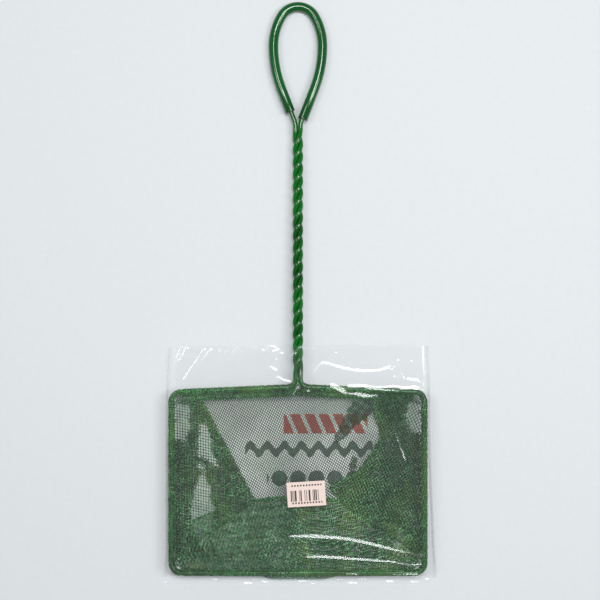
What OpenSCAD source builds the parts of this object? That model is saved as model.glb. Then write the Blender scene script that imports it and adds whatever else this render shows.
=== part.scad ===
// Aquarium fish net in its clear film sleeve, lying flat.
// X runs across the net head, Y up the handle towards the hanging loop, Z up.
// The origin is under the middle of the net head, on the plane that the sleeve rests on.

/* [Head] */
// Width of the head, between the wire centres of its side bars
head_w = 149; // [110:1:220]
// Height of the head, from the bottom bar's wire centre to the top bar's at the corners
head_h = 106.5; // [90:0.5:160]
// Bend radius of the four corners, at the wire's centre
corner_r = 6; // [5:0.5:12]
// Rise of each top bar towards the handle, in degrees
top_rise = 2.5; // [0:0.5:6]
// Bend radius where the top bars turn up into the handle
neck_r = 5; // [4:0.5:10]
// Height of the head's wire centre above the resting plane
head_z = 10; // [8:0.5:14]

/* [Wire] */
// Steel core diameter
core_d = 2; // [1.4:0.1:2.2]
// Outside diameter of the plastic coat on the wire
coat_d = 2.8; // [2.6:0.1:3.2]
// Radial clearance between core and coat
core_fit = 0.03; // [0.03:0.01:0.06]

/* [Handle] */
// Length of the twisted stretch
handle_len = 148; // [100:1:220]
// Length of one full turn of the three strands
twist_pitch = 22; // [18:0.1:30]
// Length over which the twist starts and ends
twist_ease = 10; // [6:1:16]
// Gap left between neighbouring strands, measured square to the handle
strand_gap = 0.15; // [0.13:0.01:0.25]
// Bend radius of the slight drop where the handle leaves the head
drop_r = 40; // [30:5:80]

/* [Hanging loop] */
// Bend radius where the strands part at the foot of the loop
throat_r = 10; // [8:0.5:14]
// Lean of the two straight legs, in degrees
leg_lean = 21; // [18:0.5:25]
// Bend radius of the loop's long sides
side_r = 70; // [66:1:74]
// Bend radius of the shoulders
shoulder_r = 35; // [33:1:38]
// Turn of each shoulder, in degrees
shoulder_turn = 30; // [27:1:33]
// Bend radius of the top of the loop
top_r = 11; // [10.5:0.5:13]

/* [Grip tube] */
// Outside diameter of the grip tube
tube_d = 5.7; // [5:0.1:7]
// Bore of the grip tube, loose on the wire
tube_bore = 3.7; // [3.5:0.1:4]
// Straight length of bare wire under the tube's left end
bare_left = 5.5; // [1:0.5:12]
// Straight length of bare wire under the tube's right end
bare_right = 0.8; // [0.4:0.1:6]

/* [Hem] */
// Outside diameter of the sewn hem round the head wire
hem_d = 3.6; // [3.4:0.1:4.4]
// Radial clearance between the hem and the wire in it
hem_fit = 0.05; // [0.03:0.01:0.1]
// Part of the neck's bend that the hem follows, in degrees
hem_turn = 45; // [20:5:50]

/* [Net pouch] */
// Thickness of one layer of netting
net_t = 0.4; // [0.3:0.1:0.8]
// Spacing of the diamond gaps, drawn coarser than the real netting
mesh_pitch = 8.2; // [8:0.1:16]
// Width of the strand between two gaps
mesh_bar = 1.1; // [0.8:0.1:2]
// Least strip of whole netting round the gaps
net_edge = 1.6; // [1.2:0.1:4]
// How far the bottom seam lies below the middle of the head
seam_drop = 9.5; // [0:0.5:20]
// Radius of the curve that the bottom seam lies in
seam_curve_r = 142; // [120:1:200]
// Diameter of the rolled bottom seam
seam_d = 1.2; // [1:0.1:1.4]
// Gap between stacked things that only lie on each other
rest_gap = 0.3; // [0.2:0.05:0.4]

/* [Sleeve] */
// Thickness of the film as modelled
film_t = 0.3; // [0.2:0.05:0.5]
// Slack between the top of the twisted strands and the front film
film_gap = 1; // [0.9:0.1:2]
// Gap between the hem and the folded sides of the sleeve
side_gap = 0.8; // [0.7:0.1:3]
// Film standing above the head's top corners, to the open mouth
mouth_reach = 28; // [18:1:45]
// Gap below the bottom hem before the film closes
foot_gap = 1.6; // [1:0.1:5]
// Length of the slope that closes the foot
foot_slope = 3; // [2:0.5:8]
// Width of the sealed strip at the foot
seal_w = 2; // [1:0.5:6]

/* [Print and label] */
// Width of the white print on the back film
print_w = 109; // [60:1:120]
// Height of the white print
print_h = 62; // [40:1:80]
// Place of the print's middle across the head, from its middle
print_x = -5.5; // [-12:0.5:12]
// Place of the print's middle along the head, from its middle
print_y = 16.2; // [-10:0.1:17]
// Thickness of the print
print_t = 0.1; // [0.05:0.05:0.2]
// Width of the price label on the front film
label_w = 22.5; // [15:0.5:40]
// Height of the price label
label_h = 14.5; // [10:0.5:25]
// Thickness of the label
label_t = 0.1; // [0.05:0.05:0.3]
// Place of the label's middle across the head, from its middle
label_x = 4.9; // [-40:0.1:40]
// Place of the label's middle along the head, from its middle
label_y = -6.3; // [-35:0.1:35]
// Turn of the label, in degrees
label_turn = 3.5; // [-10:0.5:10]

/* [Hidden] */

fine = 64;
coarse = 28;

// Colours
wire_green = "#0c7422";
steel_grey = "#8d9296";
hem_green = "#2f6f2d";
net_green = "#46854c";
fold_green = "#2a5f30";
film_tint = [0.85, 0.92, 0.96, 0.35];

// Three strands are twisted round the handle's middle line. At both ends two of them lie
// side by side in the plane of the head and the loop, strand_x from the middle, and the
// third lies below them, where it is cut off.
strand_x = (coat_d + strand_gap) / 2;
strand_r = strand_x / cos(30);
strand_drop = strand_r / 2;
coat_bore = core_d + 2 * core_fit;
hem_bore = coat_d + 2 * hem_fit;

// The loop's top bend closes what the legs, sides and shoulders leave open.
top_turn = 90 - shoulder_turn;
side_turn = leg_lean;
shoulder_x = top_r * sin(top_turn) + shoulder_r * (1 - sin(top_turn));
shoulder_y = top_r * (1 - cos(top_turn)) + shoulder_r * cos(top_turn);
leg_top_x = shoulder_x - side_r * (1 - cos(side_turn));
leg_foot_x = strand_x + throat_r * (1 - cos(leg_lean));
leg_run = (leg_top_x - leg_foot_x) / sin(leg_lean);
loop_len = shoulder_y + side_r * sin(side_turn) + leg_run * cos(leg_lean)
    + throat_r * sin(leg_lean);

// The handle drops until the grip tube's top end rests on the plane under the sleeve.
reach = handle_len + loop_len;
drop = atan(drop_r / reach)
    + asin((head_z - tube_d / 2 - drop_r) / sqrt(reach * reach + drop_r * drop_r));

// A route is a list of moves, [length, 0] for a straight and [radius, degrees] for a
// bend, to the left where the degrees are positive. A third number rolls the route
// about its own run before the move.
neck_turn = 90 - top_rise;
side_run = head_h - corner_r - corner_r * cos(top_rise);
corner_end_x = head_w / 2 - corner_r + corner_r * sin(top_rise);
corner_end_y = head_h / 2 - corner_r + corner_r * cos(top_rise);
top_end_x = strand_x + neck_r - neck_r * sin(top_rise);
top_run = (corner_end_x - top_end_x) / cos(top_rise);
neck_y = head_h / 2 + top_run * sin(top_rise) + neck_r * cos(top_rise);

head_route = [
    [head_w / 2 - corner_r, 0],
    [corner_r, 90],
    [side_run, 0],
    [corner_r, neck_turn],
    [top_run, 0],
    [neck_r, -hem_turn],
    [neck_r, hem_turn - neck_turn],
    [drop_r, drop, -90]
];

function loop_route(bare) = [
    [throat_r, -leg_lean],
    [bare, 0],
    [leg_run - bare, 0],
    [side_r, side_turn],
    [shoulder_r, shoulder_turn]
];

// Twist of the strands, in thirds of a turn so that they part as they came together
third_turns = round((handle_len - twist_ease) / twist_pitch * 3);
twist_rate = 120 * third_turns / (handle_len - twist_ease);
rings_per_turn = 12;
ring_count = ceil(rings_per_turn * handle_len / twist_pitch);
coat_sides = 8;
core_sides = 6;

// Turned angle of a strand at a distance along the handle
function turned(y) =
    y < twist_ease ? twist_rate * y * y / twist_ease / 2 :
    y > handle_len - twist_ease ?
        120 * third_turns - twist_rate * (handle_len - y) * (handle_len - y) / twist_ease / 2 :
    twist_rate * (y - twist_ease / 2);

// Turning rate there, in radians per millimetre
function turn_rate(y) =
    twist_rate * min(1, y / twist_ease, (handle_len - y) / twist_ease) * PI / 180;

// One ring of points round a strand, square to its run
function strand_ring(y, start, r, sides) =
    let (
        at = start - turned(y),
        lean = strand_r * turn_rate(y),
        away = [cos(at), 0, sin(at)],
        along = [lean * sin(at), 1, -lean * cos(at)] / sqrt(1 + lean * lean),
        across = cross(along, away)
    )
    [for (k = [0 : sides - 1])
        strand_r * away + [0, y, -strand_drop]
            + r * (cos(360 * k / sides) * away + sin(360 * k / sides) * across)];

function strand_points(start, r, sides) = [
    for (i = [0 : ring_count])
        each strand_ring(handle_len * i / ring_count, start, r, sides)
];

// Triangles between neighbouring rings, and the two ends
function strand_faces(sides) = [
    for (i = [0 : ring_count - 1])
        for (k = [0 : sides - 1])
            let (
                a = i * sides + k,
                b = i * sides + (k + 1) % sides,
                c = a + sides,
                d = b + sides
            )
            each [[a, d, b], [a, c, d]],
    [for (k = [0 : sides - 1]) k],
    [for (k = [0 : sides - 1]) ring_count * sides + sides - 1 - k]
];

// Levels of what lies in the sleeve
net_z = film_t + rest_gap;
hem_foot_z = head_z - hem_d / 2;
wall_top_z = hem_foot_z - hem_fit;
front_z = head_z + strand_r - strand_drop + coat_d / 2 + film_gap;
sleeve_h = front_z + film_t;

// The sleeve's section is flat with round folded sides, just clear of the hem.
fold_r = sleeve_h / 2;
fold_inner_r = fold_r - film_t;
hem_side_x = head_w / 2 + hem_d / 2 + side_gap;
hem_side_z = head_z + hem_d / 2 - fold_r;
fold_x = hem_side_x - sqrt(fold_inner_r * fold_inner_r - hem_side_z * hem_side_z);
foot_y = -head_h / 2 - hem_d / 2 - foot_gap;
mouth_y = head_h / 2 + mouth_reach;
seal_y = foot_y - foot_slope;

module round_bar(length, d) {
    rotate([-90, 0, 0])
        cylinder(h = length, d = d, $fn = coarse);
}

module round_bend(r, turn, d) {
    translate([-r, 0, 0])
        rotate_extrude(angle = turn, $fn = fine)
            translate([r, 0])
                circle(d = d, $fn = coarse);
}

// A hair-thin ring over each joint of two moves keeps a bent bar in one piece.
joint_len = 0.2;
joint_rise = core_fit * 2 / 3;
module joint(d) {
    translate([0, -joint_len / 2, 0])
        round_bar(joint_len, d + joint_rise);
}

// Follows a route from move i on and draws the moves from first to last.
module solid_bar(route, first, last, d, i = 0) {
    size = route[i][0];
    turn = route[i][1];
    roll = len(route[i]) > 2 ? route[i][2] : 0;
    side = turn < 0 ? size : -size;
    rotate([0, roll, 0]) {
        if (i > first) joint(d);
        if (i >= first && turn == 0) round_bar(size, d);
        if (i >= first && turn > 0) round_bend(size, turn, d);
        if (i >= first && turn < 0) mirror([1, 0, 0]) round_bend(size, -turn, d);
        if (i < last && turn == 0)
            translate([0, size, 0])
                solid_bar(route, first, last, d, i + 1);
        if (i < last && turn != 0)
            translate([side, 0, 0])
                rotate([0, 0, turn])
                    translate([-side, 0, 0])
                        solid_bar(route, first, last, d, i + 1);
    }
}

module bent_bar(route, first, last, d, bore = 0) {
    difference() {
        solid_bar(route, first, last, d);
        if (bore > 0) solid_bar(route, first, last, bore);
    }
}

// A wall of netting that hangs along a route
module bent_wall(route, first, last, i = 0) {
    size = route[i][0];
    turn = route[i][1];
    tall = wall_top_z - net_z;
    if (i >= first && turn == 0)
        translate([-net_t / 2, 0, 0])
            cube([net_t, size, tall]);
    if (i >= first && turn > 0)
        translate([-size, 0, 0])
            rotate_extrude(angle = turn, $fn = fine)
                translate([size - net_t / 2, 0])
                    square([net_t, tall]);
    if (i < last && turn == 0)
        translate([0, size, 0])
            bent_wall(route, first, last, i + 1);
    if (i < last && turn > 0)
        translate([-size, 0, 0])
            rotate([0, 0, turn])
                translate([size, 0, 0])
                    bent_wall(route, first, last, i + 1);
}

// Places the start of the right half of the head, at the middle of the bottom bar
module head_start(z) {
    translate([0, -head_h / 2, z])
        rotate([0, 0, -90])
            children();
}

module left_half() {
    mirror([1, 0, 0]) children();
}

// Places what stands at the handle's foot, dropped with it
module handle_start() {
    translate([0, neck_y, head_z - drop_r])
        rotate([-drop, 0, 0])
            translate([0, 0, drop_r])
                children();
}

module loop_start() {
    handle_start()
        translate([0, handle_len, 0])
            children();
}

module strand_start() {
    handle_start() children();
}

module right_loop(first, last, bare, d, bore = 0) {
    loop_start()
        translate([strand_x, 0, 0])
            bent_bar(loop_route(bare), first, last, d, bore);
}

module left_loop(first, last, bare, d, bore = 0) {
    loop_start()
        mirror([1, 0, 0])
            translate([strand_x, 0, 0])
                bent_bar(loop_route(bare), first, last, d, bore);
}

module strand(start, d, sides) {
    strand_start()
        polyhedron(points = strand_points(start, d / 2, sides), faces = strand_faces(sides));
}

module strand_core(start) {
    color(steel_grey) strand(start, core_d, core_sides);
}

module strand_coat(start) {
    color(wire_green)
        difference() {
            strand(start, coat_d, coat_sides);
            strand(start, coat_bore, core_sides);
        }
}

module frame_core() {
    color(steel_grey) {
        head_start(head_z) bent_bar(head_route, 0, 7, core_d);
        left_half() head_start(head_z) bent_bar(head_route, 0, 7, core_d);
    }
}

module frame_coat() {
    color(wire_green) {
        head_start(head_z) bent_bar(head_route, 0, 5, coat_d, coat_bore);
        left_half() head_start(head_z) bent_bar(head_route, 0, 5, coat_d, coat_bore);
    }
}

module neck_coat_right() {
    color(wire_green) head_start(head_z) bent_bar(head_route, 6, 7, coat_d, coat_bore);
}

module neck_coat_left() {
    left_half() neck_coat_right();
}

module handle_core_a() {
    strand_core(30);
}

module handle_core_b() {
    strand_core(150);
}

module handle_core_c() {
    strand_core(270);
}

module handle_coat_a() {
    strand_coat(30);
}

module handle_coat_b() {
    strand_coat(150);
}

module handle_coat_c() {
    strand_coat(270);
}

module throat_coat_left() {
    color(wire_green) left_loop(0, 1, bare_left, coat_d, coat_bore);
}

module throat_coat_right() {
    color(wire_green) right_loop(0, 1, bare_right, coat_d, coat_bore);
}

// Both sides of the loop from move first on, and its top
module loop_shape(first, d) {
    left_loop(first, 4, bare_left, d);
    right_loop(first, 4, bare_right, d);
    loop_start()
        translate([0, loop_len - top_r, 0]) {
            rotate([0, 0, 90 - top_turn])
                translate([top_r, 0, 0])
                    round_bend(top_r, 2 * top_turn, d);
            for (side = [-1, 1])
                rotate([0, 0, side * top_turn])
                    translate([0, top_r, 0])
                        rotate([0, 0, 90])
                            joint(d);
        }
}

module loop_core() {
    color(steel_grey) loop_shape(0, core_d);
}

module loop_coat() {
    color(wire_green)
        difference() {
            loop_shape(2, coat_d);
            loop_shape(2, coat_bore);
        }
}

module grip_tube() {
    color(wire_green)
        difference() {
            loop_shape(2, tube_d);
            loop_shape(2, tube_bore);
        }
}

module hem_part(first, last) {
    color(hem_green)
        head_start(head_z)
            bent_bar(head_route, first, last, hem_d, hem_bore);
}

module hem_top_right() {
    hem_part(4, 5);
}

module hem_top_left() {
    left_half() hem_part(4, 5);
}

module hem_right() {
    hem_part(1, 3);
}

module hem_left() {
    left_half() hem_part(1, 3);
}

module hem_bottom() {
    hem_part(0, 0);
    left_half() hem_part(0, 0);
}

// Floor of the folded pouch, joined to the bands along its top and bottom edges and
// just clear of the gussets at its sides and corners
half_w = head_w / 2;
half_h = head_h / 2;
floor_gap = net_t / 2 + rest_gap / 3;
band_face = net_t / 2 / cos(top_rise);
function top_edge_y(x) = corner_end_y + (corner_end_x - x) * tan(top_rise) - band_face;
module floor_area() {
    side_x = half_w - floor_gap;
    foot_x = half_w - corner_r - floor_gap;
    foot_edge_y = -half_h + net_t / 2;
    head_x = corner_end_x - floor_gap;
    polygon([
        [-foot_x, foot_edge_y], [foot_x, foot_edge_y],
        [side_x, -half_h + corner_r], [side_x, half_h - corner_r],
        [head_x, top_edge_y(head_x)], [top_end_x, top_edge_y(top_end_x)],
        [-top_end_x, top_edge_y(top_end_x)], [-head_x, top_edge_y(head_x)],
        [-side_x, half_h - corner_r], [-side_x, -half_h + corner_r]
    ]);
}

// The bottom seam lies in an arc whose middle is seam_drop below the head's middle.
seam_centre_y = -seam_drop - seam_curve_r;
seam_gap = seam_d / 2 + rest_gap / 3;
module seam_area(grow) {
    translate([0, seam_centre_y])
        circle(r = seam_curve_r + grow, $fn = 180);
}

// Whether a gap at x, y keeps whole netting round it, above or below the seam
gap_half = (mesh_pitch - mesh_bar) / sqrt(2);
function from_seam(x, y) = norm([x, y - seam_centre_y]) - seam_curve_r;
function inside_head(x, y) =
    abs(x) < half_w - net_edge - gap_half
    && y > -half_h + net_edge + gap_half
    && y < half_h - net_edge - gap_half
    && abs(x) + abs(y) < half_w + half_h - corner_r - net_edge - gap_half;

module gaps_above(side) {
    step = mesh_pitch * sqrt(2);
    across = ceil(half_w / step);
    up = ceil(half_h / step);
    for (row = [-2 * up : 2 * up])
        for (column = [-across : across]) {
            x = (column + (row % 2 == 0 ? 0 : 0.5)) * step;
            y = row * step / 2;
            if (inside_head(x, y) && side * from_seam(x, y) > seam_gap + net_edge + gap_half)
                translate([x, y])
                    rotate(45)
                        square(mesh_pitch - mesh_bar, center = true);
        }
}

module net_front_wall() {
    color(net_green)
        translate([0, 0, net_z])
            linear_extrude(net_t)
                difference() {
                    floor_area();
                    seam_area(seam_gap);
                    gaps_above(1);
                }
}

module net_back_wall() {
    color(net_green)
        translate([0, 0, net_z])
            linear_extrude(net_t)
                difference() {
                    intersection() {
                        floor_area();
                        seam_area(-seam_gap);
                    }
                    gaps_above(-1);
                }
}

// Bands of doubled netting under the hem, which the pouch hangs from
module net_band_top_right() {
    color(net_green) head_start(net_z) bent_wall(head_route, 4, 4);
}

module net_band_top_left() {
    left_half() net_band_top_right();
}

module net_band_bottom() {
    color(net_green) {
        head_start(net_z) bent_wall(head_route, 0, 0);
        left_half() head_start(net_z) bent_wall(head_route, 0, 0);
    }
}

// The gussets fold in over the seam, each to its own edge, as the net was packed.
gusset_z = net_z + seam_d + rest_gap / 3;
left_fold = [[-51, 37], [-25, -12]];
right_fold = [[44, 43], [49, 26], [34, 3]];
module gusset(fold) {
    edge_x = sign(fold[0][0]) * half_w;
    translate([0, 0, gusset_z])
        linear_extrude(net_t)
            polygon(concat(
                [[edge_x, -half_h + corner_r], [edge_x, half_h - corner_r]],
                fold
            ));
}

module net_gusset_left() {
    color(fold_green) {
        gusset(left_fold);
        left_half() head_start(net_z) bent_wall(head_route, 1, 3);
    }
}

module net_gusset_right() {
    color(fold_green) {
        gusset(right_fold);
        head_start(net_z) bent_wall(head_route, 1, 3);
    }
}

module net_bottom_seam() {
    seam_half = asin((half_w - corner_r - seam_d) / seam_curve_r);
    color(hem_green)
        translate([0, seam_centre_y, net_z + seam_d / 2])
            rotate([0, 0, 90 - seam_half])
                rotate_extrude(angle = 2 * seam_half, $fn = 180)
                    translate([seam_curve_r, 0])
                        circle(d = seam_d, $fn = coarse);
}

module flat_film(z) {
    color(film_tint)
        translate([-fold_x, foot_y, z])
            cube([2 * fold_x, mouth_y - foot_y, film_t]);
}

module folded_film() {
    color(film_tint)
        translate([fold_x, foot_y, fold_r])
            rotate([-90, 0, 0])
                linear_extrude(mouth_y - foot_y)
                    difference() {
                        circle(r = fold_r, $fn = fine);
                        circle(r = fold_inner_r, $fn = fine);
                        translate([-2 * fold_r, -2 * fold_r])
                            square([2 * fold_r, 4 * fold_r]);
                    }
}

module sleeve_front_film() {
    flat_film(front_z);
}

module sleeve_back_film() {
    flat_film(0);
}

module sleeve_fold_right() {
    folded_film();
}

module sleeve_fold_left() {
    left_half() folded_film();
}

// The foot slopes from the open section down to a flat sealed strip.
module foot_shape(inset) {
    seal_half = fold_x + fold_r - inset;
    hull() {
        for (side = [-1, 1])
            translate([side * fold_x, foot_y, fold_r])
                rotate([-90, 0, 0])
                    translate([0, 0, -0.01])
                        cylinder(r = fold_r - inset, h = 0.01, $fn = 32);
        translate([-seal_half, seal_y, inset])
            cube([2 * seal_half, 0.01, 2 * film_t - inset]);
    }
}

module sleeve_foot_seal() {
    seal_half = fold_x + fold_r;
    color(film_tint) {
        difference() {
            foot_shape(0);
            translate([0, 0.01, 0]) foot_shape(film_t);
        }
        translate([-seal_half, seal_y - seal_w, 0])
            cube([2 * seal_half, seal_w, 2 * film_t]);
    }
}

module sleeve_print() {
    color("#f2f4f2")
        translate([print_x - print_w / 2, print_y - print_h / 2, film_t])
            cube([print_w, print_h, print_t]);
}

module price_label() {
    color("#f6e3da")
        translate([label_x, label_y, sleeve_h])
            rotate([0, 0, label_turn])
                translate([-label_w / 2, -label_h / 2, 0])
                    cube([label_w, label_h, label_t]);
}

frame_core();
frame_coat();
neck_coat_left();
neck_coat_right();
handle_core_a();
handle_core_b();
handle_core_c();
handle_coat_a();
handle_coat_b();
handle_coat_c();
throat_coat_left();
throat_coat_right();
loop_core();
loop_coat();
grip_tube();
hem_top_left();
hem_top_right();
hem_left();
hem_right();
hem_bottom();
net_front_wall();
net_back_wall();
net_gusset_left();
net_gusset_right();
net_band_top_left();
net_band_top_right();
net_band_bottom();
net_bottom_seam();
sleeve_front_film();
sleeve_back_film();
sleeve_fold_left();
sleeve_fold_right();
sleeve_foot_seal();
sleeve_print();
price_label();
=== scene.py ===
from functools import partial
from math import asin, atan, ceil, copysign, cos, degrees, hypot, pi, radians, sin, sqrt, tan

import bpy
import numpy as np
from mathutils import Matrix


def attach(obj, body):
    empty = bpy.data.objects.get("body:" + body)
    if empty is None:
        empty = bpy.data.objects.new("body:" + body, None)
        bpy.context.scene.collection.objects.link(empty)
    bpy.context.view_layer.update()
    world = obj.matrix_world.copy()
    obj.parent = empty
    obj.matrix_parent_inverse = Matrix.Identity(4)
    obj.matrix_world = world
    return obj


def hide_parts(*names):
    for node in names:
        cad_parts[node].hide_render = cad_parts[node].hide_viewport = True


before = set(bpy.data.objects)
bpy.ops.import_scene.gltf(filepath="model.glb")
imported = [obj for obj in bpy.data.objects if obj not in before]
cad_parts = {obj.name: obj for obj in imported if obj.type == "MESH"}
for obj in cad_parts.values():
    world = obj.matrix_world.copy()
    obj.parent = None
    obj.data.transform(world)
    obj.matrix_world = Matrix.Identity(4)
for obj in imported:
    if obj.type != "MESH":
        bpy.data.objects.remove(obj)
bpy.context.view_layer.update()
mm = 0.001
fullTurn = 6.283
share, valueA, valueB, colourA, colourB = 0, 2, 3, 6, 7  # inputs of a Mix node, whose names repeat

# Sizes that the pieces share, in millimetres and degrees, as the part's source has them
head = {"width": 149, "height": 106.5, "cornerR": 6, "topRise": 2.5, "neckR": 5,
        "wireZ": 10, "hemTurn": 45, "dropR": 40}
wire = {"coatD": 2.8, "strandGap": 0.15, "sides": 16, "bendStep": 5}
handle = {"length": 148, "pitch": 22, "ease": 10, "ringsPerTurn": 36, "strands": (30, 150, 270)}
loop = {"throatR": 10, "lean": 21, "sideR": 70, "shoulderR": 35, "shoulderTurn": 30,
        "topR": 11}
grip = {"outside": 5.7, "bore": 3.7, "bareLeft": 5.5, "bareRight": 0.8, "shift": 0.35,
        "sides": 32, "rim": 0.25}
seam = {"drop": 9.5, "curveR": 142, "diameter": 1.2, "z": 0.6, "points": 260, "sides": 12,
        "stitch": {"pitch": 1.5, "length": 1.5, "thickness": 0.36, "lift": 0.48, "sway": 0.9}}

halfW, halfH = head["width"] / 2, head["height"] / 2
cornerR, neckR = head["cornerR"], head["neckR"]
rise = radians(head["topRise"])


def linear(colour):
    # An sRGB hex value as the linear colour that a shader takes
    parts = [int(colour[i:i + 2], 16) / 255 for i in (1, 3, 5)]
    return [p / 12.92 if p < 0.04045 else ((p + 0.055) / 1.055) ** 2.4 for p in parts] + [1]


def addNode(tree, kind, inputs=(), **settings):
    # An input is a value, a hex colour, a socket, or a node whose first live output is meant
    node = tree.nodes.new("ShaderNode" + kind)
    for name, value in settings.items():
        setattr(node, name, value)
    pairs = inputs.items() if isinstance(inputs, dict) else enumerate(inputs)
    for key, item in pairs:
        if isinstance(item, str):
            item = linear(item)
        if hasattr(item, "outputs"):
            item = next(o for o in item.outputs if o.enabled)
        if isinstance(item, bpy.types.NodeSocket):
            tree.links.new(item, node.inputs[key])
        else:
            node.inputs[key].default_value = item
    return node


def newMaterial(name, build, *facts):
    # build adds the nodes and gives back the shader; it gets each point's place in metres
    material = bpy.data.materials.new(name)
    material.use_nodes = True
    material.node_tree.nodes.clear()
    add = partial(addNode, material.node_tree)
    add("OutputMaterial", [build(add, add("TexCoord").outputs["Object"], *facts)])
    return material


def newObject(name, data):
    thing = bpy.data.objects.new(name, data)
    bpy.context.collection.objects.link(thing)
    return thing


def newPiece(name, points, faces, material):
    # Points come in millimetres
    mesh = bpy.data.meshes.new(name)
    mesh.from_pydata((points * mm).tolist(), [], faces)
    mesh.materials.append(material)
    return newObject(name, mesh)


def makeActive(piece):
    bpy.ops.object.select_all(action="DESELECT")
    piece.select_set(True)
    bpy.context.view_layer.objects.active = piece


def setMode(mode):
    bpy.ops.object.mode_set(mode=mode)


def applyModifier(piece, kind, **settings):
    makeActive(piece)
    modifier = piece.modifiers.new(kind, kind)
    for name, value in settings.items():
        setattr(modifier, name, value)
    bpy.ops.object.modifier_apply(modifier=modifier.name)


def smooth(piece):
    piece.data.polygons.foreach_set("use_smooth", [True] * len(piece.data.polygons))
    piece.data.update()


def join(name, pieces):
    # The joined piece keeps the first one's notes on its flat size
    makeActive(pieces[0])
    for piece in pieces[1:]:
        piece.select_set(True)
    if len(pieces) > 1:
        bpy.ops.object.join()
    pieces[0].name = name
    return pieces[0]


def finishPiece(piece, slot, *nodes, body="net"):
    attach(piece, body)
    if nodes:
        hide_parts(*nodes)


def ripples(x, y, size, seed, count=10):
    # Seeded waves of about this size in every direction, about 1 high
    draw = np.random.default_rng(seed)
    total = np.zeros(np.shape(x))
    for _ in range(count):
        angle, phase = draw.uniform(0, fullTurn), draw.uniform(0, fullTurn)
        stretch = draw.uniform(0.7, 1.6)
        along = x * cos(angle) + y * sin(angle)
        total += np.sin(fullTurn / size / stretch * along + phase)
    return total / sqrt(count)


def ease(x, low, high):
    # 0 below low, 1 above high, and a smooth rise between them
    t = np.clip((x - low) / (high - low), 0, 1)
    return t * t * (3 - 2 * t)


def unit(rows):
    return rows / (np.linalg.norm(rows, axis=1)[:, None] + 1e-9)


def measure(path):
    # How far along a path of points each one lies
    return np.concatenate([[0], np.cumsum(np.linalg.norm(np.diff(path, axis=0), axis=1))])


def pointAt(s, run, path):
    # The points at distances s along a path that was measured as run
    return np.stack([np.interp(s, run, column) for column in path.T], -1)


# The camera looks straight down, as the photograph does
view = {"place": (0.0012, 0.1074, 0.844), "lens": 85}
camera = newObject("camera", bpy.data.cameras.new("camera"))
camera.location = view["place"]
camera.data.lens = view["lens"]
bpy.context.scene.camera = camera


# Routes are walked as in the part's source: moves of [length, 0] or [radius, degrees],
# with a roll about the run as a third number
def shift(x, y, z):
    return Matrix.Translation((x, y, z))


def turn(angle, axis):
    return Matrix.Rotation(radians(angle), 4, axis)


def walk(start, moves):
    here, points = start, [start.translation]
    for size, bend, *roll in moves:
        here = here @ turn(roll[0] if roll else 0, "Y")
        count = max(1, ceil(abs(bend) / wire["bendStep"]))
        side = -copysign(size, bend)
        steps = [shift(0, size, 0)] if bend == 0 else [
            shift(side, 0, 0) @ turn(bend * k / count, "Z") @ shift(-side, 0, 0)
            for k in range(1, count + 1)]
        points = points + [(here @ step).translation for step in steps]
        here = here @ steps[-1]
    return np.array([tuple(p) for p in points])


strandX = (wire["coatD"] + wire["strandGap"]) / 2
strandR = strandX / cos(pi / 6)
lean = radians(loop["lean"])
topTurn = 90 - loop["shoulderTurn"]
shoulder = radians(topTurn)
shoulderX = loop["topR"] * sin(shoulder) + loop["shoulderR"] * (1 - sin(shoulder))
shoulderY = loop["topR"] * (1 - cos(shoulder)) + loop["shoulderR"] * cos(shoulder)
legTopX = shoulderX - loop["sideR"] * (1 - cos(lean))
legFootX = strandX + loop["throatR"] * (1 - cos(lean))
legRun = (legTopX - legFootX) / sin(lean)
loopLength = (shoulderY + loop["sideR"] * sin(lean) + legRun * cos(lean)
              + loop["throatR"] * sin(lean))
reach = handle["length"] + loopLength
drop = degrees(atan(head["dropR"] / reach) + asin(
    (head["wireZ"] - grip["outside"] / 2 - head["dropR"]) / hypot(reach, head["dropR"])))

neckTurn = 90 - head["topRise"]
cornerEndX = halfW - cornerR + cornerR * sin(rise)
cornerEndY = halfH - cornerR + cornerR * cos(rise)
topEndX = strandX + neckR - neckR * sin(rise)
topRun = (cornerEndX - topEndX) / cos(rise)
neckY = halfH + topRun * sin(rise) + neckR * cos(rise)
headRoute = [
    [halfW - cornerR, 0],
    [cornerR, 90],
    [head["height"] - cornerR * (1 + cos(rise)), 0],
    [cornerR, neckTurn],
    [topRun, 0],
    [neckR, -head["hemTurn"]],
    [neckR, head["hemTurn"] - neckTurn],
    [head["dropR"], drop, -90],
]


def loopRoute(bare):
    return [
        [loop["throatR"], -loop["lean"]],
        [bare, 0],
        [legRun - bare, 0],
        [loop["sideR"], loop["lean"]],
        [loop["shoulderR"], loop["shoulderTurn"]],
        [loop["topR"], topTurn],
    ]


headStart = shift(0, -halfH, head["wireZ"]) @ turn(-90, "Z")
handleStart = (shift(0, neckY, head["wireZ"] - head["dropR"]) @ turn(-drop, "X")
               @ shift(0, 0, head["dropR"]))
loopStart = handleStart @ shift(strandX, handle["length"], 0)
thirdTurns = round((handle["length"] - handle["ease"]) / handle["pitch"] * 3)
wholeTwist = 2 * pi / 3 * thirdTurns
twistRate = wholeTwist / (handle["length"] - handle["ease"])
flipX = np.array([-1, 1, 1])


def strandPath(start):
    # One strand from the neck up, by its place in the triangle of three at the neck
    count = round(handle["ringsPerTurn"] * handle["length"] / handle["pitch"])
    y = np.linspace(0, handle["length"], count)
    easeIn, left = handle["ease"], handle["length"] - y
    turned = np.where(y < easeIn, twistRate * y * y / easeIn / 2,
                      np.where(left < easeIn, wholeTwist - twistRate * left * left / easeIn / 2,
                               twistRate * (y - easeIn / 2)))
    at = radians(start) - turned
    local = np.stack([strandR * np.cos(at), y, strandR * (np.sin(at) - 0.5), np.ones(count)])
    return (np.array(handleStart) @ local)[:3].T


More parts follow.
